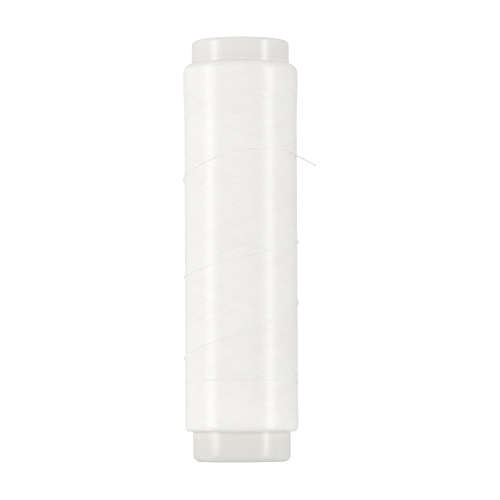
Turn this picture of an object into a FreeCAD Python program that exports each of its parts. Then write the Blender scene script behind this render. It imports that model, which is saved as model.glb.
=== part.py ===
"""Fishing line spool: a moulded tube with about 100 m of clear 0.2 mm line cross-wound on it.

Millimetres. The tube's axis is +Z and the origin is the centre of its lower end, on the surface it stands on.
Angles round the spool are measured from -Y, its front, and grow towards +X, its right-hand side.
Each sub-part is written to parts/NODE.step.
"""

import FreeCAD
import Part

import os
from math import cos, pi, radians, sin, tan

Vector = FreeCAD.Vector
UP = Vector(0, 0, 1)
ORIGIN = Vector(0, 0, 0)

# --- the moulded tube ---------------------------------------------------------------------------------------
tube_length = 77.8
tube_radius = 9.0
bore_radius = 7.0
base_rim_round = 1.2  # the outer edge of the lower end
top_rim_round = 0.8  # the outer edge of the upper end
bore_edge_break = 0.2  # the chamfer at both mouths of the bore

# --- grip grooves along the barrel, under the line ----------------------------------------------------------
groove_count = 24
groove_width = 0.5
groove_depth = 0.25
groove_end_margin = 2.0  # from each end of the wound line to the grooves' ends

# --- the wound line -----------------------------------------------------------------------------------------
line_diameter = 0.2
bare_base = 5.5  # bare tube below the wound line
bare_top = 4.3  # bare tube above it
wound_thickness = 1.31  # of the wound line on the tube, at its waist
base_ear = 0.08  # how far the wound line stands out past its waist near its lower end
top_ear = 0.22  # and near its upper end
base_shoulder = 1.0  # the radius that rounds the lower end of the wound line
top_shoulder_height = 1.8  # the upper end falls to the tube over this height
base_ear_fade = 6.0  # an ear fades into the waist over this height
top_ear_fade = 10.0

# --- the line's first end, in a grip groove under the wound line --------------------------------------------
start_length = 30.0
groove_clearance = 0.01  # between the first end and the floor of its groove

# --- the outermost turns, which lie on the wound line, and the free tail ------------------------------------
wrap_clearance = 0.01  # between an outer turn and the wound line under it
wrap_step = 30  # degrees between the corners of an outer turn's route
release_angle = 1137  # where the tail leaves the wound line, in degrees from the front
level_turns_end = 90  # near this angle the level turns become rising turns
tail_length = 9.5
tail_drop = 2.1  # the tail falls this far between the wound line and its tip

# The heights of the outer turns, as (angle in degrees, height). The line goes the way the angle grows.
outer_turn_heights = [
    (-450, 14.5), (90, 15.4), (225, 18.5), (270, 19.5), (330, 22.0), (450, 29.6),
    (630, 34.5), (720, 37.3), (810, 40.8), (990, 52.3), (1050, 55.6), (1095, 57.4), (1137, 57.2),
]

# --- worked out from the sizes above ------------------------------------------------------------------------
line_radius = line_diameter / 2
wound_base = bare_base
wound_top = tube_length - bare_top
waist_radius = tube_radius + wound_thickness
base_ear_radius = waist_radius + base_ear
top_ear_radius = waist_radius + top_ear
groove_base = wound_base + groove_end_margin
groove_top = wound_top - groove_end_margin
outer_turn_radius = waist_radius + wrap_clearance + line_radius
arc_share = 0.45  # of the shorter of two runs, taken up by the arc between them


def at(radius, height):
    """A point of an outline in the XZ plane."""
    return Vector(radius, 0, height)


def arc_at(radius, height, size, start, end):
    """An arc in the XZ plane about (radius, height), from angle start to angle end in degrees."""
    points = []
    for angle in (start, (start + end) / 2, end):
        a = radians(angle)
        points.append(at(radius + size * cos(a), height + size * sin(a)))
    return Part.Arc(*points).toShape()


def quarter_ellipse(radius, height, radial_size, axial_size):
    """The upper outer quarter of an ellipse about (radius, height) in the XZ plane, from its side to its top."""
    steps = 6
    points = []
    for i in range(steps + 1):
        a = radians(90 * i / steps)
        points.append(at(radius + radial_size * cos(a), height + axial_size * sin(a)))
    curve = Part.BSplineCurve()
    curve.interpolate(points, InitialTangent=UP, FinalTangent=Vector(-1, 0, 0))
    return curve.toShape()


def fade(start, end):
    """A smooth curve in the XZ plane that leaves start and reaches end going straight up."""
    reach = Vector(0, 0, (end.z - start.z) / 2)
    curve = Part.BezierCurve()
    curve.setPoles([start, start + reach, end - reach, end])
    return curve.toShape()


def revolved(edges):
    """The solid that a closed outline in the XZ plane makes as it turns about the axis."""
    return Part.Face(Part.Wire(edges)).revolve(ORIGIN, UP, 360)


def grip_groove():
    """The cutter of one grip groove, a slot with round ends in the front of the barrel."""
    half = groove_width / 2
    floor = tube_radius - groove_depth
    past = tube_radius + groove_depth
    bar = Part.makeBox(groove_width, past - floor, groove_top - groove_base - groove_width)
    bar.translate(Vector(-half, -past, groove_base + half))
    cutter = bar
    for height in (groove_base + half, groove_top - half):
        end = Part.makeCylinder(half, past - floor, Vector(0, -past, height), Vector(0, 1, 0))
        cutter = cutter.fuse(end)
    return cutter.removeSplitter()


def core_tube():
    """The moulded tube: rounded rims, a through bore for a spindle, and grip grooves under the line."""
    top = tube_length
    bore_mouth = bore_radius + bore_edge_break
    edges = [
        Part.makeLine(at(bore_mouth, 0), at(tube_radius - base_rim_round, 0)),
        arc_at(tube_radius - base_rim_round, base_rim_round, base_rim_round, -90, 0),
        Part.makeLine(at(tube_radius, base_rim_round), at(tube_radius, top - top_rim_round)),
        arc_at(tube_radius - top_rim_round, top - top_rim_round, top_rim_round, 0, 90),
        Part.makeLine(at(tube_radius - top_rim_round, top), at(bore_mouth, top)),
        Part.makeLine(at(bore_mouth, top), at(bore_radius, top - bore_edge_break)),
        Part.makeLine(at(bore_radius, top - bore_edge_break), at(bore_radius, bore_edge_break)),
        Part.makeLine(at(bore_radius, bore_edge_break), at(bore_mouth, 0)),
    ]
    grooves = []
    for i in range(groove_count):
        groove = grip_groove()
        groove.rotate(ORIGIN, UP, 360 * i / groove_count)
        grooves.append(groove)
    return revolved(edges).cut(Part.makeCompound(grooves))


def line_start():
    """The line's first end, straight along the floor of the rear grip groove."""
    depth = tube_radius - groove_depth + groove_clearance + line_radius
    base = Vector(0, -depth, (groove_base + groove_top - start_length) / 2)
    length = Part.makeCylinder(line_radius, start_length, base, UP)
    rear_groove = groove_count // 2
    length.rotate(ORIGIN, UP, 360 * rear_groove / groove_count)
    return length


def wound_line():
    """All the cross-wound turns as one sleeve, with an ear near each end and rounded shoulders."""
    base_ear_height = wound_base + base_shoulder
    top_ear_height = wound_top - top_shoulder_height
    waist_low = base_ear_height + base_ear_fade
    waist_high = top_ear_height - top_ear_fade
    edges = [
        Part.makeLine(at(tube_radius, wound_base), at(base_ear_radius - base_shoulder, wound_base)),
        arc_at(base_ear_radius - base_shoulder, base_ear_height, base_shoulder, -90, 0),
        fade(at(base_ear_radius, base_ear_height), at(waist_radius, waist_low)),
        Part.makeLine(at(waist_radius, waist_low), at(waist_radius, waist_high)),
        fade(at(waist_radius, waist_high), at(top_ear_radius, top_ear_height)),
        quarter_ellipse(tube_radius, top_ear_height, top_ear_radius - tube_radius, top_shoulder_height),
        Part.makeLine(at(tube_radius, wound_top), at(tube_radius, wound_base)),
    ]
    return revolved(edges)


def outer_turn_height(angle):
    """The height of the outer turns at an angle, straight between the heights that are listed."""
    for (a0, h0), (a1, h1) in zip(outer_turn_heights[:-1], outer_turn_heights[1:]):
        if angle <= a1:
            break
    return h0 + (h1 - h0) * (angle - a0) / (a1 - a0)


def outer_route():
    """The corners of the route of the outer turns, with the tip of the tail as the last point.

    Each run between two corners touches the cylinder that the line's centre follows, halfway along it.
    """
    half_step = wrap_step / 2
    corner_radius = outer_turn_radius / cos(radians(half_step))
    turned = release_angle - half_step - outer_turn_heights[0][0]
    count = int(turned // wrap_step)
    route = []
    for i in range(count, -1, -1):
        angle = release_angle - half_step - wrap_step * i
        a = radians(angle)
        height = outer_turn_height(angle)
        route.append(Vector(corner_radius * sin(a), -corner_radius * cos(a), height))
    a = radians(release_angle)
    level_reach = (tail_length ** 2 - tail_drop ** 2) ** 0.5
    touch = Vector(outer_turn_radius * sin(a), -outer_turn_radius * cos(a), outer_turn_height(release_angle))
    route.append(touch + Vector(cos(a) * level_reach, sin(a) * level_reach, -tail_drop))
    return route


def smooth_path(points):
    """Straight runs through points, joined by tangent arcs, as a wire. It also gives the arcs' radii."""
    edges = []
    radii = []
    here = points[0]
    for before, corner, after in zip(points[:-2], points[1:-1], points[2:]):
        into = (corner - before).normalize()
        out = (after - corner).normalize()
        half_turn = into.getAngle(out) / 2
        cut = arc_share * min((corner - before).Length, (after - corner).Length)
        size = cut / tan(half_turn)
        radii.append(size)
        start = corner - into * cut
        end = corner + out * cut
        inward = (out - into).normalize()
        middle = corner + inward * (size / cos(half_turn) - size)
        edges.append(Part.LineSegment(here, start).toShape())
        edges.append(Part.Arc(start, middle, end).toShape())
        here = end
    edges.append(Part.LineSegment(here, points[-1]).toShape())
    return Part.Wire(edges), radii


def line_along(name, points):
    """A length of line along a route. It prints the bends' radii and how true the solid's volume is."""
    path, radii = smooth_path(points)
    direction = (points[1] - points[0]).normalize()
    section = Part.Wire(Part.makeCircle(line_radius, points[0], direction))
    solid = path.makePipeShell([section], True, True)
    expected = pi * line_radius ** 2 * path.Length
    bends = "straight"
    if radii:
        bends = "radii %.1f to %.1f" % (min(radii), max(radii))
    print("%s: %.1f mm long, %s, volume %.4f of section x length"
          % (name, path.Length, bends, solid.Volume / expected))
    return solid


def outer_lengths():
    """The outer line in its three lengths, which meet face to face halfway along a run."""
    route = outer_route()
    first_angle = release_angle - wrap_step / 2 - wrap_step * (len(route) - 2)
    level_count = round((level_turns_end - first_angle) / wrap_step) + 1
    level_end = (route[level_count - 1] + route[level_count]) / 2
    last_run = route[-1] - route[-2]
    release_x = outer_turn_radius * sin(radians(release_angle))
    tail_start = route[-2] + last_run * (release_x - route[-2].x) / last_run.x
    return {
        "level_turns": route[:level_count] + [level_end],
        "rising_turns": [level_end] + route[level_count:-1] + [tail_start],
        "line_tail": [tail_start, route[-1]],
    }


def main():
    parts = {
        "core_tube": core_tube(),
        "line_start": line_start(),
        "wound_line": wound_line(),
    }
    for name, points in outer_lengths().items():
        parts[name] = line_along(name, points)
    os.makedirs("parts", exist_ok=True)
    for name, shape in parts.items():
        shape.exportStep("parts/%s.step" % name)
        box = shape.BoundBox
        print("%s: %d solid, valid %s, volume %.3f, X %.3f..%.3f, Y %.3f..%.3f, Z %.3f..%.3f"
              % (name, len(shape.Solids), shape.isValid(), shape.Volume,
                 box.XMin, box.XMax, box.YMin, box.YMax, box.ZMin, box.ZMax))


main()
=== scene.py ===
"""Looks of the fishing line spool: a translucent moulded tube, cross-wound with clear monofilament line.

The winding is simulated. One continuous line is laid traverse after traverse on a height map of the spool,
pulled taut over what already lies there, and then made into real tubes wherever it can be seen.
Sizes inside the script are millimetres until MM turns them into Blender's metres.
Angles round the spool are measured from -Y, its front, and grow towards +X.
"""

from math import cos, pi, radians, sin, tau

import bpy
import numpy as np
from mathutils import Matrix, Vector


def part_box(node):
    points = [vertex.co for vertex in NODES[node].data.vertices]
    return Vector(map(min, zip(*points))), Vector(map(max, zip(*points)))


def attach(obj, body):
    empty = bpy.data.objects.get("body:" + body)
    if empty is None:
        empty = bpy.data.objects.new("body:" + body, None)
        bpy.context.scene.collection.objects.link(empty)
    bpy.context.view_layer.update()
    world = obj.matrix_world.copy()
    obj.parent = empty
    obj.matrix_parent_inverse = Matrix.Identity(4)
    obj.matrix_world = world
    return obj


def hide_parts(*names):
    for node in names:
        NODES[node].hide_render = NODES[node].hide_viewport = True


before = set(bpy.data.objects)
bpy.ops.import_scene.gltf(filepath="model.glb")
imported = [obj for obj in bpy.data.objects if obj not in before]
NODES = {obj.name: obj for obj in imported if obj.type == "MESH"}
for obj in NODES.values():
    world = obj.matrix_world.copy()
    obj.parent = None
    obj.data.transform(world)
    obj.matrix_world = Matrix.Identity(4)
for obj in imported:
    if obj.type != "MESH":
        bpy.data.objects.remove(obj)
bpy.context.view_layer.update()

MM = 0.001

# --- the spool's sizes, from the frame ----------------------------------------------------------------------
TUBE_LOW, TUBE_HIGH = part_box("core_tube")
WOUND_LOW, WOUND_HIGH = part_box("wound_line")
LINE_LOW, LINE_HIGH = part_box("line_start")
TUBE_RADIUS = (TUBE_HIGH[0] - TUBE_LOW[0]) / 2 / MM
WOUND_BASE = WOUND_LOW[2] / MM
WOUND_TOP = WOUND_HIGH[2] / MM
LINE_RADIUS = (LINE_HIGH[0] - LINE_LOW[0]) / 2 / MM

# --- how the line is wound ----------------------------------------------------------------------------------
SEED = 7
TRAVERSES = 500  # single strokes of the guide, up or down
TURNS = 3.00475  # of the spool in one traverse
TURNS_JITTER = 0.0011  # how much the turns of one traverse vary
REVERSAL_SHARPNESS = 0.992  # 1 turns the line back at a point, less rounds it
REVERSAL_SLIP = 0.12  # how far the line slips inward where it turns back
SLIP_REACH = 2.0  # a slip fades out over this height
END_ROUND = 0.15  # how softly the line turns away from the winding's rounded ends
WANDER = 0.02  # how far a turn strays up or down from its true helix
WANDER_WAVES = 12  # waves of different lengths that add up to that stray
WANDER_RATES = (0.11, 0.9)  # the slowest and the fastest wave, for each turn of the spool
WANDER_SPREAD = 2.4  # of the waves' sum, when each is 1 high
SETTLE = 0.85  # of its diameter that each crossing line adds to the winding
SAMPLES = 720  # along one traverse
CELL = 0.1  # of the height map

# --- how the winding is drawn -------------------------------------------------------------------------------
EVEN_REACH = 6  # cells; unevenness wider than this is evened out by the line's tension
RELIEF = 0.45  # of the finer unevenness that the tension leaves
CROWN_LIMIT = 0.2  # the most that a turn may stand out of the winding before it is pressed down
BED_DEPTH = 0.03  # of the plain mass of line below the turns that are drawn
BED_REACH = 2  # cells that the mass spreads from each crossing
BED_BLUR = 2  # cells that its surface is smoothed over
BED_STEP = 3  # cells between its vertices
BED_LEAST = 0.01  # the least thickness of the mass on the tube
BED_FOOT = 0.005  # how far its two ends stand off the tube
SEEN_PROUD = 0.005  # line that stands this far out of the mass below it is drawn
ENDS_DRAWN = 0.3  # of the winding's height at each end, where every turn is drawn
DRAWN_EVERY = 4  # samples between the rings of a drawn line
LEAST_RINGS = 4  # a shorter stretch of line isn't drawn
SIDES = 6  # of a drawn line
LOOSE_SIDES = 12  # of the outer turns and the tail
LAYER_STARTS = [0, 150, 270, 370, 440]  # the first traverse of each piece of line, from the inside out
STREAK = [0.2, 1.0, 0.2]  # how far a turn's tone takes after the ones beside it
MEAN_TONE = 0.65
TONE_SPREAD = 0.25


def wound_profile():
    """Heights, and the wound line's outer radius at each, from the frame's own solid."""
    mesh = NODES["wound_line"].data
    points = np.empty(len(mesh.vertices) * 3)
    mesh.vertices.foreach_get("co", points)
    points = points.reshape(-1, 3) / MM
    radius = np.hypot(points[:, 0], points[:, 1])
    height = np.round(points[:, 2], 3)
    levels = np.unique(height)
    outer = np.array([radius[height == level].max() for level in levels])
    return levels, outer


PROFILE_HEIGHTS, PROFILE_RADII = wound_profile()


def surface_radius(height):
    """The wound line's outer radius at a height."""
    return np.interp(height, PROFILE_HEIGHTS, PROFILE_RADII)


# --- the simulated winding ----------------------------------------------------------------------------------
class Winding:
    """Line laid turn by turn on a map of the spool's surface: the radius at each angle and height."""

    def __init__(self):
        self.angle_cells = int(round(tau * TUBE_RADIUS / CELL))
        self.height_cells = int(round((WOUND_TOP - WOUND_BASE) / CELL)) + 1
        self.top = np.full((self.angle_cells, self.height_cells), TUBE_RADIUS)
        self.laid = []

    def cells(self, angle, height):
        i = np.floor(angle / tau * self.angle_cells).astype(int) % self.angle_cells
        j = np.clip(np.round((height - WOUND_BASE) / CELL).astype(int), 0, self.height_cells - 1)
        return i, j

    def lay(self, angle, height, settle=SETTLE):
        """Lays one length of line and returns the radius of its centre at each sample."""
        across = np.array([-0.8, -0.4, 0.0, 0.4, 0.8]) * LINE_RADIUS
        i, j = self.cells(angle[:, None], height[:, None] + across[None, :])
        ground = self.top[i, j].max(axis=1)
        step = TUBE_RADIUS * (angle[1] - angle[0])
        centre = taut(ground, step) + LINE_RADIUS * (2 * settle - 1)
        crown = centre[:, None] + np.sqrt(LINE_RADIUS ** 2 - across ** 2)[None, :]
        np.maximum.at(self.top, (i, j), crown)
        self.laid.append((angle, height, centre))
        return centre


def taut(ground, step):
    """The radius of a line pulled tight over uneven ground: straight wherever it spans a hollow."""
    along = np.arange(len(ground)) * step
    bow = along ** 2 / (2 * TUBE_RADIUS)
    level = (ground - bow).tolist()
    hull = []
    for k, value in enumerate(level):
        while len(hull) > 1:
            a, b = hull[-2], hull[-1]
            if (level[b] - level[a]) * (k - a) > (value - level[a]) * (b - a):
                break
            hull.pop()
        hull.append(k)
    return np.interp(along, along[hull], np.array(level)[hull]) + bow


def room_for(grown):
    """The lowest and highest place for line when the winding has grown by this share of its thickness."""
    waist = np.median(PROFILE_RADII)
    radius = TUBE_RADIUS + grown * (waist - TUBE_RADIUS)
    heights = np.linspace(WOUND_BASE, WOUND_TOP, 1400)
    room = heights[surface_radius(heights) >= radius]
    return room.min() + LINE_RADIUS, room.max() - LINE_RADIUS


def simulate():
    """Winds the whole line on, traverse by traverse."""
    random = np.random.default_rng(SEED)
    winding = Winding()
    wander_turns = random.uniform(*WANDER_RATES, WANDER_WAVES)
    wander_phase = random.uniform(0, tau, WANDER_WAVES)
    part = np.linspace(0, 1, SAMPLES + 1)
    stroke = 0.5 - np.arcsin(REVERSAL_SHARPNESS * np.cos(pi * part)) / (2 * np.arcsin(REVERSAL_SHARPNESS))
    strayed = 0.0
    slipped = 0.0
    for n in range(TRAVERSES):
        low, high = room_for(n / TRAVERSES)
        stray = random.normal(0, TURNS_JITTER)
        slip = abs(random.normal(0, REVERSAL_SLIP))
        angle = (n * TURNS + strayed + part * (TURNS + stray - strayed)) * tau
        wander = np.sin(angle[:, None] * wander_turns[None, :] + wander_phase[None, :]).sum(axis=1)
        wander = WANDER * wander / WANDER_SPREAD
        rise = (WOUND_TOP - WOUND_BASE) * stroke
        inward = slipped * np.exp(-rise / SLIP_REACH) - slip * np.exp(-rise[::-1] / SLIP_REACH)
        height = WOUND_BASE + rise + wander
        if n % 2:
            height = WOUND_TOP - rise + wander
            inward = -inward
        height = soft_clip(height + inward, low, high)
        winding.lay(angle, height)
        strayed = stray
        slipped = slip
    for keys in LATE_TURNS:
        places = ring_places(keys)
        winding.lay(np.radians(places), smooth_through(keys, places))
    return winding


def soft_clip(height, low, high):
    """Heights kept within low and high, with the corners rounded over END_ROUND."""
    over = height - high
    height = high - END_ROUND * np.logaddexp(0, -over / END_ROUND)
    under = low - height
    return low + END_ROUND * np.logaddexp(0, -under / END_ROUND)


def blurred(grid, reach):
    """A height map smoothed over a few cells, round the spool and along it."""
    weight = np.exp(-0.5 * (np.arange(-3 * reach, 3 * reach + 1) / reach) ** 2)
    weight /= weight.sum()
    wide = np.concatenate([grid[-3 * reach:], grid, grid[:3 * reach]])
    wide = np.apply_along_axis(np.convolve, 0, wide, weight, "valid")
    wide = np.pad(wide, ((0, 0), (3 * reach, 3 * reach)), mode="edge")
    return np.apply_along_axis(np.convolve, 1, wide, weight, "valid")


def widened(grid, reach):
    """A height map where each cell is as high as the highest one within reach, round and along the spool."""
    round_it = np.max([np.roll(grid, k, axis=0) for k in range(-reach, reach + 1)], axis=0)
    longer = np.pad(round_it, ((0, 0), (reach, reach)), mode="edge")
    count = grid.shape[1]
    return np.max([longer[:, k:k + count] for k in range(2 * reach + 1)], axis=0)


def settled(winding):
    """How far the line moves in or out at each angle and height, to give the winding the frame's own profile.

    Tension evens a real winding out, so only relief finer than EVEN_REACH cells is left on that profile.
    """
    heights = WOUND_BASE + np.arange(winding.height_cells) * CELL
    shift = surface_radius(heights) - winding.top.mean(axis=0)
    relief = winding.top - winding.top.mean(axis=0)
    return shift[None, :] - blurred(relief, EVEN_REACH)


def pressed(crown, height):
    """Radii of the tops of turns, with the winding's unevenness pressed down to RELIEF of itself."""
    profile = surface_radius(height)
    return profile + RELIEF * np.minimum(crown - profile, CROWN_LIMIT)


def tube_mesh(name, lengths, sides=SIDES):
    """One mesh of round tubes, one along each (points, outward directions, tone), with closed ends."""
    vertices = []
    tones = []
    faces = []
    loops = []
    first = 0
    turn = np.arange(sides) * tau / sides
    for points, outward, tone in lengths:
        count = len(points)
        tangent = np.gradient(points, axis=0)
        tangent /= np.linalg.norm(tangent, axis=1)[:, None]
        side = np.cross(tangent, outward)
        side /= np.linalg.norm(side, axis=1)[:, None]
        up = np.cross(side, tangent)
        ring = np.cos(turn)[None, :, None] * up[:, None, :] + np.sin(turn)[None, :, None] * side[:, None, :]
        vertices.append((points[:, None, :] + LINE_RADIUS * ring).reshape(-1, 3))
        tones.append(np.full(count * sides, tone))
        here = first + np.arange(count - 1)[:, None] * sides + np.arange(sides)[None, :]
        beside = first + np.arange(count - 1)[:, None] * sides + (np.arange(sides)[None, :] + 1) % sides
        faces.append(np.stack([here, here + sides, beside + sides, beside], axis=-1).reshape(-1, 4))
        loops.append(first + np.arange(sides))
        loops.append(first + (count - 1) * sides + np.arange(sides)[::-1])
        first += count * sides
    quads = np.concatenate(faces)
    caps = np.array(loops)
    mesh = bpy.data.meshes.new(name)
    mesh.vertices.add(first)
    mesh.vertices.foreach_set("co", (np.concatenate(vertices) * MM).ravel())
    mesh.loops.add(quads.size + caps.size)
    mesh.loops.foreach_set("vertex_index", np.concatenate([quads.ravel(), caps.ravel()]).astype(np.int32))
    mesh.polygons.add(len(quads) + len(caps))
    starts = np.concatenate([np.arange(len(quads)) * 4, quads.size + np.arange(len(caps)) * sides])
    mesh.polygons.foreach_set("loop_start", starts.astype(np.int32))
    mesh.update(calc_edges=True)
    mesh.validate()
    smooth = np.ones(len(mesh.polygons), dtype=bool)
    smooth[len(quads):] = False
    mesh.polygons.foreach_set("use_smooth", smooth)
    attribute = mesh.attributes.new("tone", "FLOAT", "POINT")
    attribute.data.foreach_set("value", np.concatenate(tones).astype(np.float32))
    piece = bpy.data.objects.new(name, mesh)
    bpy.context.scene.collection.objects.link(piece)
    return piece


def on_spool(angle, radius, height):
    """Points at angles from the front, distances from the axis and heights, as an array."""
    return np.stack([radius * np.sin(angle), -radius * np.cos(angle), height], axis=-1)


def outward_at(angle):
    return np.stack([np.sin(angle), -np.cos(angle), np.zeros_like(angle)], axis=-1)


def seen_lengths(winding, shift, bed, tones, first, last):
    """The stretches of traverses first to last that can be seen, as (points, outward directions, tone)."""
    lengths = []
    for (angle, height, centre), tone in zip(winding.laid[first:last], tones[first:last]):
        crown = centre + shift[winding.cells(angle, height)] + LINE_RADIUS
        radius = np.maximum(pressed(crown, height) - LINE_RADIUS, TUBE_RADIUS + LINE_RADIUS)
        seen = radius + LINE_RADIUS > bed[winding.cells(angle, height)] + SEEN_PROUD
        seen |= height < WOUND_BASE + ENDS_DRAWN
        seen |= height > WOUND_TOP - ENDS_DRAWN
        seen = seen[::DRAWN_EVERY]
        seen[1:] |= seen[:-1].copy()
        seen[:-1] |= seen[1:].copy()
        points = on_spool(angle, radius, height)[::DRAWN_EVERY]
        outward = outward_at(angle)[::DRAWN_EVERY]
        edges = np.flatnonzero(np.diff(np.concatenate([[False], seen, [False]]).astype(int)))
        for start, end in zip(edges[::2], edges[1::2]):
            if end - start >= LEAST_RINGS:
                lengths.append((points[start:end], outward[start:end], tone))
    return lengths


# --- the late and loose outer turns and the tail ------------------------------------------------------------
PLACE_STEP = 1.5  # degrees between the rings of these turns
# The heights of the outer turns and how far they stand off the winding (or, below 0, are pressed into it),
# as (angle in degrees, height, lift).
OUTER_TURNS = [
    (-450, 14.9, -0.075), (-360, 15.0, -0.075), (-290, 14.9, -0.075), (-270, 14.85, 0.03),
    (-250, 14.85, -0.075), (-180, 14.9, -0.075), (-90, 15.0, -0.05), (-60, 15.1, -0.075),
    (0, 15.4, -0.075), (45, 15.75, -0.075), (75, 15.9, -0.05), (90, 16.0, 0.02),
    (105, 16.1, -0.05), (150, 16.7, -0.075), (225, 18.1, -0.05), (270, 19.1, 0.03),
    (284, 19.6, -0.07), (330, 22.0, -0.075), (380, 25.1, -0.075), (404, 26.8, -0.075),
    (425, 28.1, -0.075), (438, 28.7, -0.02), (450, 29.3, 0.05), (520, 31.7, -0.03),
    (610, 33.8, -0.03), (630, 34.2, 0.02), (642, 34.4, -0.07), (660, 34.8, -0.09),
    (675, 35.4, -0.085), (698, 36.5, -0.075), (720, 37.5, -0.075), (745, 38.4, -0.075),
    (765, 38.95, -0.07), (783, 39.5, -0.03), (798, 40.1, 0.02), (810, 40.5, 0.05),
    (860, 43.7, -0.02), (930, 48.6, -0.02), (965, 50.7, 0.01), (978, 51.4, 0.05),
    (990, 52.0, 0.08), (1002, 52.9, -0.05), (1014, 53.4, -0.08), (1024, 53.9, -0.09),
    (1033, 54.4, -0.09), (1045, 55.1, -0.085), (1058, 55.85, -0.075), (1072, 56.6, -0.075),
    (1088, 57.1, -0.075), (1105, 57.35, -0.075), (1122, 57.3, -0.075), (1130, 57.2, -0.075),
    (1137, 57.05, -0.05), (1160, 56.5, -0.05),
]
RELEASE = 1136  # the angle where the line leaves the winding; it is laid further only to lie true there
TAIL_SAG = 0.25  # of the tail's tip below the tip of its solid
TAIL_POINTS = 24  # along the tail
TAIL_CLEAR = 8  # the tail's points up to this one are close to the winding and belong to the outer turns

# Single turns that were laid late across the others, as (angle in degrees, height).
LATE_TURNS = [
    [(-25, 22.1), (0, 22.0), (30, 21.4), (60, 20.2), (90, 18.7), (180, 16.3), (270, 14.8)],
    [(-130, 63.2), (0, 63.35), (130, 63.5)],
    [(-130, 51.5), (0, 51.6), (150, 51.7), (250, 51.75)],
]


def ring_places(keys):
    """Angles in degrees, PLACE_STEP apart, from the first of the keys to the last."""
    return np.arange(keys[0][0], keys[-1][0] + 0.5, PLACE_STEP)


def smooth_through(keys, at):
    """Values at the given places on a smooth curve through keys, a list of (place, value)."""
    place = np.array([k[0] for k in keys], dtype=float)
    value = np.array([k[1] for k in keys], dtype=float)
    slope = np.gradient(value, place)
    k = np.clip(np.searchsorted(place, at) - 1, 0, len(place) - 2)
    span = place[k + 1] - place[k]
    t = (at - place[k]) / span
    return (
        (2 * t ** 3 - 3 * t ** 2 + 1) * value[k]
        + (t ** 3 - 2 * t ** 2 + t) * span * slope[k]
        + (3 * t ** 2 - 2 * t ** 3) * value[k + 1]
        + (t ** 3 - t ** 2) * span * slope[k + 1]
    )


def outer_line(winding, shift):
    """The last turns of the line, laid on the winding, and its free tail, as two pieces that meet."""
    places = ring_places(OUTER_TURNS)
    angles = np.radians(places)
    height = smooth_through([(place, level) for place, level, stand_off in OUTER_TURNS], places)
    lift = smooth_through([(place, stand_off) for place, level, stand_off in OUTER_TURNS], places)
    centre = winding.lay(angles, height, settle=1.0)
    ground = centre + shift[winding.cells(angles, height)] - LINE_RADIUS
    radius = pressed(ground, height) + LINE_RADIUS + lift
    points = on_spool(angles, radius, height)
    outward = outward_at(angles)
    kept = places <= RELEASE
    points = points[kept]
    outward = outward[kept]
    tail_low, tail_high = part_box("line_tail")
    tip = np.array([tail_high[0] / MM, tail_high[1] / MM, tail_low[2] / MM + LINE_RADIUS - TAIL_SAG])
    share = np.linspace(0, 1, TAIL_POINTS)
    tail = points[-1] + share[:, None] * (tip - points[-1])
    tail_outward = np.repeat(outward[-1:], len(tail), axis=0)
    points = np.concatenate([points, tail[1:TAIL_CLEAR + 1]])
    outward = np.concatenate([outward, tail_outward[1:TAIL_CLEAR + 1]])
    turns_piece = tube_mesh("outer_turns", [(points, outward, 1)], LOOSE_SIDES)
    tail_piece = tube_mesh("free_tail", [(tail[TAIL_CLEAR:], tail_outward[TAIL_CLEAR:], 1)], LOOSE_SIDES)
    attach(turns_piece, "root")
    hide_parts("level_turns", "rising_turns")
    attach(tail_piece, "root")
    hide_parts("line_tail")
    return turns_piece, tail_piece


def bed_map(winding, shift):
    """The radius of the mass of line just below the surface turns, at each angle and height."""
    heights = WOUND_BASE + np.arange(winding.height_cells) * CELL
    profile = surface_radius(heights)[None, :]
    relief = pressed(winding.top + shift, heights[None, :]) - profile
    bed = profile + blurred(widened(relief, BED_REACH), BED_BLUR) - BED_DEPTH
    return np.maximum(bed, TUBE_RADIUS + BED_LEAST)


def winding_bed(bed):
    """The mass of line just below the surface turns, as one sleeve that follows their relief."""
    last = bed.shape[1] - 2
    columns = np.unique(np.append(np.arange(1, last + 1, BED_STEP), last))
    rings = bed[::BED_STEP, columns]
    angle = np.arange(0, bed.shape[0], BED_STEP) / bed.shape[0] * tau
    height = WOUND_BASE + columns * CELL
    foot = np.full((len(rings), 1), TUBE_RADIUS + BED_FOOT)
    radius = np.concatenate([foot, rings, foot], axis=1)
    height = np.concatenate([height[:1], height, height[-1:]])
    around, along = radius.shape
    points = on_spool(angle[:, None] + 0 * radius, radius, height[None, :] + 0 * radius)
    i = np.arange(around)[:, None]
    j = np.arange(along)[None, :]
    here = i * along + j
    beside = (i + 1) % around * along + j
    above = i * along + (j + 1) % along
    corner = (i + 1) % around * along + (j + 1) % along
    quads = np.stack([here, beside, corner, above], axis=-1).reshape(-1, 4)
    mesh = bpy.data.meshes.new("winding_bed")
    mesh.from_pydata((points.reshape(-1, 3) * MM).tolist(), [], quads.tolist())
    mesh.update()
    mesh.polygons.foreach_set("use_smooth", np.ones(len(mesh.polygons), dtype=bool))
    piece = bpy.data.objects.new("winding_bed", mesh)
    bpy.context.scene.collection.objects.link(piece)
    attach(piece, "root")
    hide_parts("wound_line")
    return piece


def streak_tones(count):
    """How pale each traverse looks, from 0 to 1. Neighbours that run the same way are alike, in streaks."""
    random = np.random.default_rng(SEED + 1)
    fresh = random.normal(0, 1, count + 2 * len(STREAK))
    streak = sum(share * fresh[2 * k:2 * k + count] for k, share in enumerate(STREAK))
    return np.clip(MEAN_TONE + TONE_SPREAD * streak / streak.std(), 0, 1)


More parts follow.
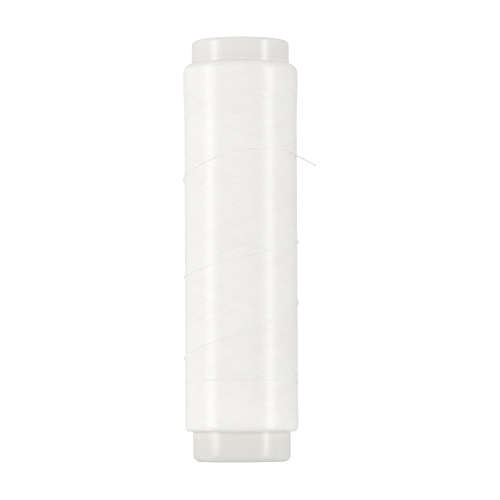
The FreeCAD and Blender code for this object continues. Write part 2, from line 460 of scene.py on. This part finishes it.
def wound_layers(winding, shift, bed):
    """The visible turns, in a few pieces from the inside out."""
    tones = streak_tones(len(winding.laid))
    ends = LAYER_STARTS[1:] + [len(winding.laid)]
    pieces = []
    for k, (first, last) in enumerate(zip(LAYER_STARTS, ends)):
        lengths = seen_lengths(winding, shift, bed, tones, first, last)
        piece = tube_mesh("wound_line_layer_%d" % (k + 1), lengths)
        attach(piece, "root")
        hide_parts("wound_line")
        pieces.append(piece)
    return pieces


# --- materials ----------------------------------------------------------------------------------------------
def new_material(name):
    material = bpy.data.materials.new(name)
    material.use_nodes = True
    nodes = material.node_tree.nodes
    return material, nodes, material.node_tree.links, nodes["Principled BSDF"]


def line_material(name, color, roughness, gloss, streaks=0.0, clearness=0.0):
    """Nylon monofilament in bulk: pale, with a silky gloss.

    Streaks are how much darker the darkest traverses are, and clearness how much light passes through.
    """
    material, nodes, links, shader = new_material(name)
    coordinates = nodes.new("ShaderNodeTexCoord")
    noise = nodes.new("ShaderNodeTexNoise")
    noise.inputs["Scale"].default_value = 160.0
    noise.inputs["Detail"].default_value = 3.0
    ramp = nodes.new("ShaderNodeValToRGB")
    ramp.color_ramp.elements[0].position = 0.3
    ramp.color_ramp.elements[0].color = (color[0] * 0.985, color[1] * 0.985, color[2] * 0.983, 1)
    ramp.color_ramp.elements[1].position = 0.7
    ramp.color_ramp.elements[1].color = (*color, 1)
    links.new(coordinates.outputs["Object"], noise.inputs["Vector"])
    links.new(noise.outputs["Fac"], ramp.inputs["Fac"])
    tone = nodes.new("ShaderNodeAttribute")
    tone.attribute_name = "tone"
    shade = nodes.new("ShaderNodeMixRGB")
    shade.blend_type = "MULTIPLY"
    shade.inputs["Color2"].default_value = (1 - streaks, 1 - 1.05 * streaks, 1 - 1.1 * streaks, 1)
    fade = nodes.new("ShaderNodeMath")
    fade.operation = "SUBTRACT"
    fade.inputs[0].default_value = 1.0
    links.new(tone.outputs["Fac"], fade.inputs[1])
    links.new(fade.outputs["Value"], shade.inputs["Fac"])
    links.new(ramp.outputs["Color"], shade.inputs["Color1"])
    links.new(shade.outputs["Color"], shader.inputs["Base Color"])
    shader.inputs["Roughness"].default_value = roughness
    shader.inputs["IOR"].default_value = 1.53
    shader.inputs["Specular IOR Level"].default_value = gloss
    shader.inputs["Transmission Weight"].default_value = clearness
    return material


# Painted light: close to the winding the tube is painted yellower, as no light reaches it from inside, and
# brighter, which lifts the shade that the winding casts on it.
PAINTED_LIGHT_REACH = 0.0018  # metres
TOP_PAINTED_LIGHT_SHARE = 2.2  # the reach is this many times shorter at the upper end, where light falls in from above


def tube_material():
    """Natural polypropylene: milky, faintly yellow, with a soft moulded gloss, and painted light close to the
    winding.
    """
    material, nodes, links, shader = new_material("moulded_tube")
    coordinates = nodes.new("ShaderNodeTexCoord")
    noise = nodes.new("ShaderNodeTexNoise")
    noise.inputs["Scale"].default_value = 90.0
    noise.inputs["Detail"].default_value = 4.0
    ramp = nodes.new("ShaderNodeValToRGB")
    ramp.color_ramp.elements[0].position = 0.3
    ramp.color_ramp.elements[0].color = (0.81, 0.799, 0.766, 1)
    ramp.color_ramp.elements[1].position = 0.7
    ramp.color_ramp.elements[1].color = (0.84, 0.831, 0.802, 1)
    split = nodes.new("ShaderNodeSeparateXYZ")
    away_low = nodes.new("ShaderNodeMath")
    away_low.operation = "SUBTRACT"
    away_low.inputs[0].default_value = WOUND_BASE * MM
    away_high = nodes.new("ShaderNodeMath")
    away_high.operation = "MULTIPLY_ADD"
    away_high.inputs[1].default_value = TOP_PAINTED_LIGHT_SHARE
    away_high.inputs[2].default_value = -TOP_PAINTED_LIGHT_SHARE * WOUND_TOP * MM
    away = nodes.new("ShaderNodeMath")
    away.operation = "MAXIMUM"
    near = nodes.new("ShaderNodeMapRange")
    near.interpolation_type = "SMOOTHSTEP"
    near.inputs["From Max"].default_value = PAINTED_LIGHT_REACH
    near.inputs["To Min"].default_value = 1.0
    near.inputs["To Max"].default_value = 0.0
    # painted light: near the winding the tube's colour is mixed towards a brighter, yellower one
    painted_light_tint = nodes.new("ShaderNodeMixRGB")
    painted_light_tint.inputs["Color2"].default_value = (0.905, 0.888, 0.838, 1)
    links.new(coordinates.outputs["Object"], split.inputs["Vector"])
    links.new(split.outputs["Z"], away_low.inputs[1])
    links.new(split.outputs["Z"], away_high.inputs[0])
    links.new(away_low.outputs["Value"], away.inputs[0])
    links.new(away_high.outputs["Value"], away.inputs[1])
    links.new(away.outputs["Value"], near.inputs["Value"])
    links.new(near.outputs["Result"], painted_light_tint.inputs["Fac"])
    links.new(ramp.outputs["Color"], painted_light_tint.inputs["Color1"])
    bump = nodes.new("ShaderNodeBump")
    bump.inputs["Strength"].default_value = 0.05
    bump.inputs["Distance"].default_value = 0.0001
    links.new(coordinates.outputs["Object"], noise.inputs["Vector"])
    links.new(noise.outputs["Fac"], ramp.inputs["Fac"])
    links.new(noise.outputs["Fac"], bump.inputs["Height"])
    links.new(painted_light_tint.outputs["Color"], shader.inputs["Base Color"])
    links.new(bump.outputs["Normal"], shader.inputs["Normal"])
    shader.inputs["Roughness"].default_value = 0.27
    shader.inputs["IOR"].default_value = 1.49
    shader.inputs["Specular IOR Level"].default_value = 0.62
    depth = nodes.new("ShaderNodeMapRange")
    depth.inputs["To Min"].default_value = 0.8
    depth.inputs["To Max"].default_value = 0.1
    links.new(near.outputs["Result"], depth.inputs["Value"])
    links.new(depth.outputs["Result"], shader.inputs["Subsurface Weight"])
    shader.inputs["Subsurface Radius"].default_value = (1.0, 1.0, 1.0)
    shader.inputs["Subsurface Scale"].default_value = 0.0022
    return material


def paint(piece, material):
    piece.data.materials.clear()
    piece.data.materials.append(material)


# --- the studio, in metres and degrees ----------------------------------------------------------------------
CAMERA_DISTANCE = 0.59
CAMERA_HEIGHT = 0.0118
CAMERA_SIDE = 0.00165
CAMERA_PITCH = 2.648
CAMERA_ROLL = -0.25
FOCAL_LENGTH = 230.0
SENSOR = 36.0
BOUNCES = 12  # light finds its way out of the gaps between turns
FILL = 0.66  # the radiance of the light from all round
RIGHT_SIDE = 0.69  # of that light comes from the right
BACKGROUND = 1.05  # the radiance that the camera sees behind the spool
STRIPS = [("left_strip", -64, 0.16, 3.4), ("right_strip", 60, 0.14, 4.15)]  # name, azimuth, width, radiance
STRIP_DISTANCE = 0.6
STRIP_HEIGHT = 0.64
STRIP_MIDDLE = 0.12
STRIP_POWER = 4  # watts for a square metre of strip at a radiance of 1
FLOOR_ALBEDO = 0.6
FLOOR_RADIUS = 0.03
FLOOR_SIDES = 96
FLOOR_LEVEL = -0.00002  # just below the spool's rim, so that the two share no plane
FLOOR_FILL = 0.24  # its own light, which keeps the foot of the spool as pale as its middle
FLOOR_GLOW = 1.0  # the same, as the camera sees it, so that the pale floor stays plain


def camera():
    data = bpy.data.cameras.new("camera")
    data.sensor_width = SENSOR
    data.lens = FOCAL_LENGTH
    data.clip_start = 0.01
    data.clip_end = 20
    eye = bpy.data.objects.new("camera", data)
    bpy.context.scene.collection.objects.link(eye)
    pitch = Matrix.Rotation(radians(90 + CAMERA_PITCH), 4, "X")
    roll = Matrix.Rotation(radians(CAMERA_ROLL), 4, "Z")
    eye.matrix_world = Matrix.Translation((CAMERA_SIDE, -CAMERA_DISTANCE, CAMERA_HEIGHT)) @ pitch @ roll
    bpy.context.scene.camera = eye


def strip_light(name, azimuth, width, radiance):
    """A tall soft light at an azimuth from the camera's side, facing the spool."""
    data = bpy.data.lights.new(name, "AREA")
    data.shape = "RECTANGLE"
    data.size = width
    data.size_y = STRIP_HEIGHT
    data.energy = radiance * STRIP_POWER * width * STRIP_HEIGHT
    light = bpy.data.objects.new(name, data)
    a = radians(azimuth)
    light.location = (STRIP_DISTANCE * sin(a), -STRIP_DISTANCE * cos(a), STRIP_MIDDLE)
    light.rotation_euler = (pi / 2, 0, a)
    bpy.context.scene.collection.objects.link(light)


def surroundings():
    """Soft light from all round, weaker from the right, and a plain bright background for the camera."""
    scene = bpy.context.scene
    scene.view_settings.view_transform = "Standard"
    scene.cycles.max_bounces = BOUNCES
    scene.cycles.diffuse_bounces = BOUNCES
    world = bpy.data.worlds.new("studio")
    scene.world = world
    world.use_nodes = True
    nodes = world.node_tree.nodes
    links = world.node_tree.links
    fill = nodes["Background"]
    fill.inputs["Color"].default_value = (1.0, 1.0, 1.0, 1)
    direction = nodes.new("ShaderNodeTexCoord")
    split = nodes.new("ShaderNodeSeparateXYZ")
    side = nodes.new("ShaderNodeMapRange")
    side.inputs["To Min"].default_value = FILL
    side.inputs["To Max"].default_value = FILL * RIGHT_SIDE
    links.new(direction.outputs["Generated"], split.inputs["Vector"])
    links.new(split.outputs["X"], side.inputs["Value"])
    links.new(side.outputs["Result"], fill.inputs["Strength"])
    seen = nodes.new("ShaderNodeBackground")
    seen.inputs["Color"].default_value = (1.0, 1.0, 1.0, 1)
    seen.inputs["Strength"].default_value = BACKGROUND
    path = nodes.new("ShaderNodeLightPath")
    mix = nodes.new("ShaderNodeMixShader")
    links.new(path.outputs["Is Camera Ray"], mix.inputs["Fac"])
    links.new(fill.outputs["Background"], mix.inputs[1])
    links.new(seen.outputs["Background"], mix.inputs[2])
    links.new(mix.outputs["Shader"], nodes["World Output"].inputs["Surface"])


def pale_floor():
    """A plain pale disc that the spool stands on."""
    mesh = bpy.data.meshes.new("floor")
    angles = [k * tau / FLOOR_SIDES for k in range(FLOOR_SIDES)]
    rim = [(FLOOR_RADIUS * cos(a), FLOOR_RADIUS * sin(a), FLOOR_LEVEL) for a in angles]
    mesh.from_pydata(rim, [], [tuple(range(FLOOR_SIDES))])
    floor = bpy.data.objects.new("floor", mesh)
    bpy.context.scene.collection.objects.link(floor)
    material, nodes, links, shader = new_material("pale_floor")
    shader.inputs["Base Color"].default_value = (FLOOR_ALBEDO, FLOOR_ALBEDO, FLOOR_ALBEDO, 1)
    shader.inputs["Roughness"].default_value = 0.9
    path = nodes.new("ShaderNodeLightPath")
    own_light = nodes.new("ShaderNodeEmission")
    own_light.inputs["Strength"].default_value = FLOOR_FILL
    seen = nodes.new("ShaderNodeEmission")
    seen.inputs["Strength"].default_value = FLOOR_GLOW
    glow = nodes.new("ShaderNodeMixShader")
    links.new(path.outputs["Is Camera Ray"], glow.inputs["Fac"])
    links.new(own_light.outputs["Emission"], glow.inputs[1])
    links.new(seen.outputs["Emission"], glow.inputs[2])
    both = nodes.new("ShaderNodeAddShader")
    links.new(shader.outputs["BSDF"], both.inputs[0])
    links.new(glow.outputs["Shader"], both.inputs[1])
    links.new(both.outputs["Shader"], nodes["Material Output"].inputs["Surface"])
    paint(floor, material)


# --- making -------------------------------------------------------------------------------------------------
camera()
surroundings()
pale_floor()
for name, azimuth, width, radiance in STRIPS:
    strip_light(name, azimuth, width, radiance)

winding = simulate()
shift = settled(winding)
bed = bed_map(winding, shift)
clear_line = line_material("clear_line", (0.992, 0.983, 0.966), 0.3, 0.65, streaks=0.12)
paint(winding_bed(bed), line_material("line_below", (0.950, 0.940, 0.921), 0.32, 0.6))
for layer in wound_layers(winding, shift, bed):
    paint(layer, clear_line)
outer_turns, free_tail = outer_line(winding, shift)
paint(outer_turns, line_material("loose_line", (0.993, 0.983, 0.964), 0.3, 0.65))
# painted shade: the tail's colour is a little darker than the rest of the line's, for the dark edges that a
# clear line shows against a bright background; the light it lets through is real
paint(free_tail, line_material("lone_line_painted_shade", (0.93, 0.92, 0.90), 0.3, 0.5, clearness=0.55))
paint(NODES["core_tube"], tube_material())
paint(NODES["line_start"], clear_line)
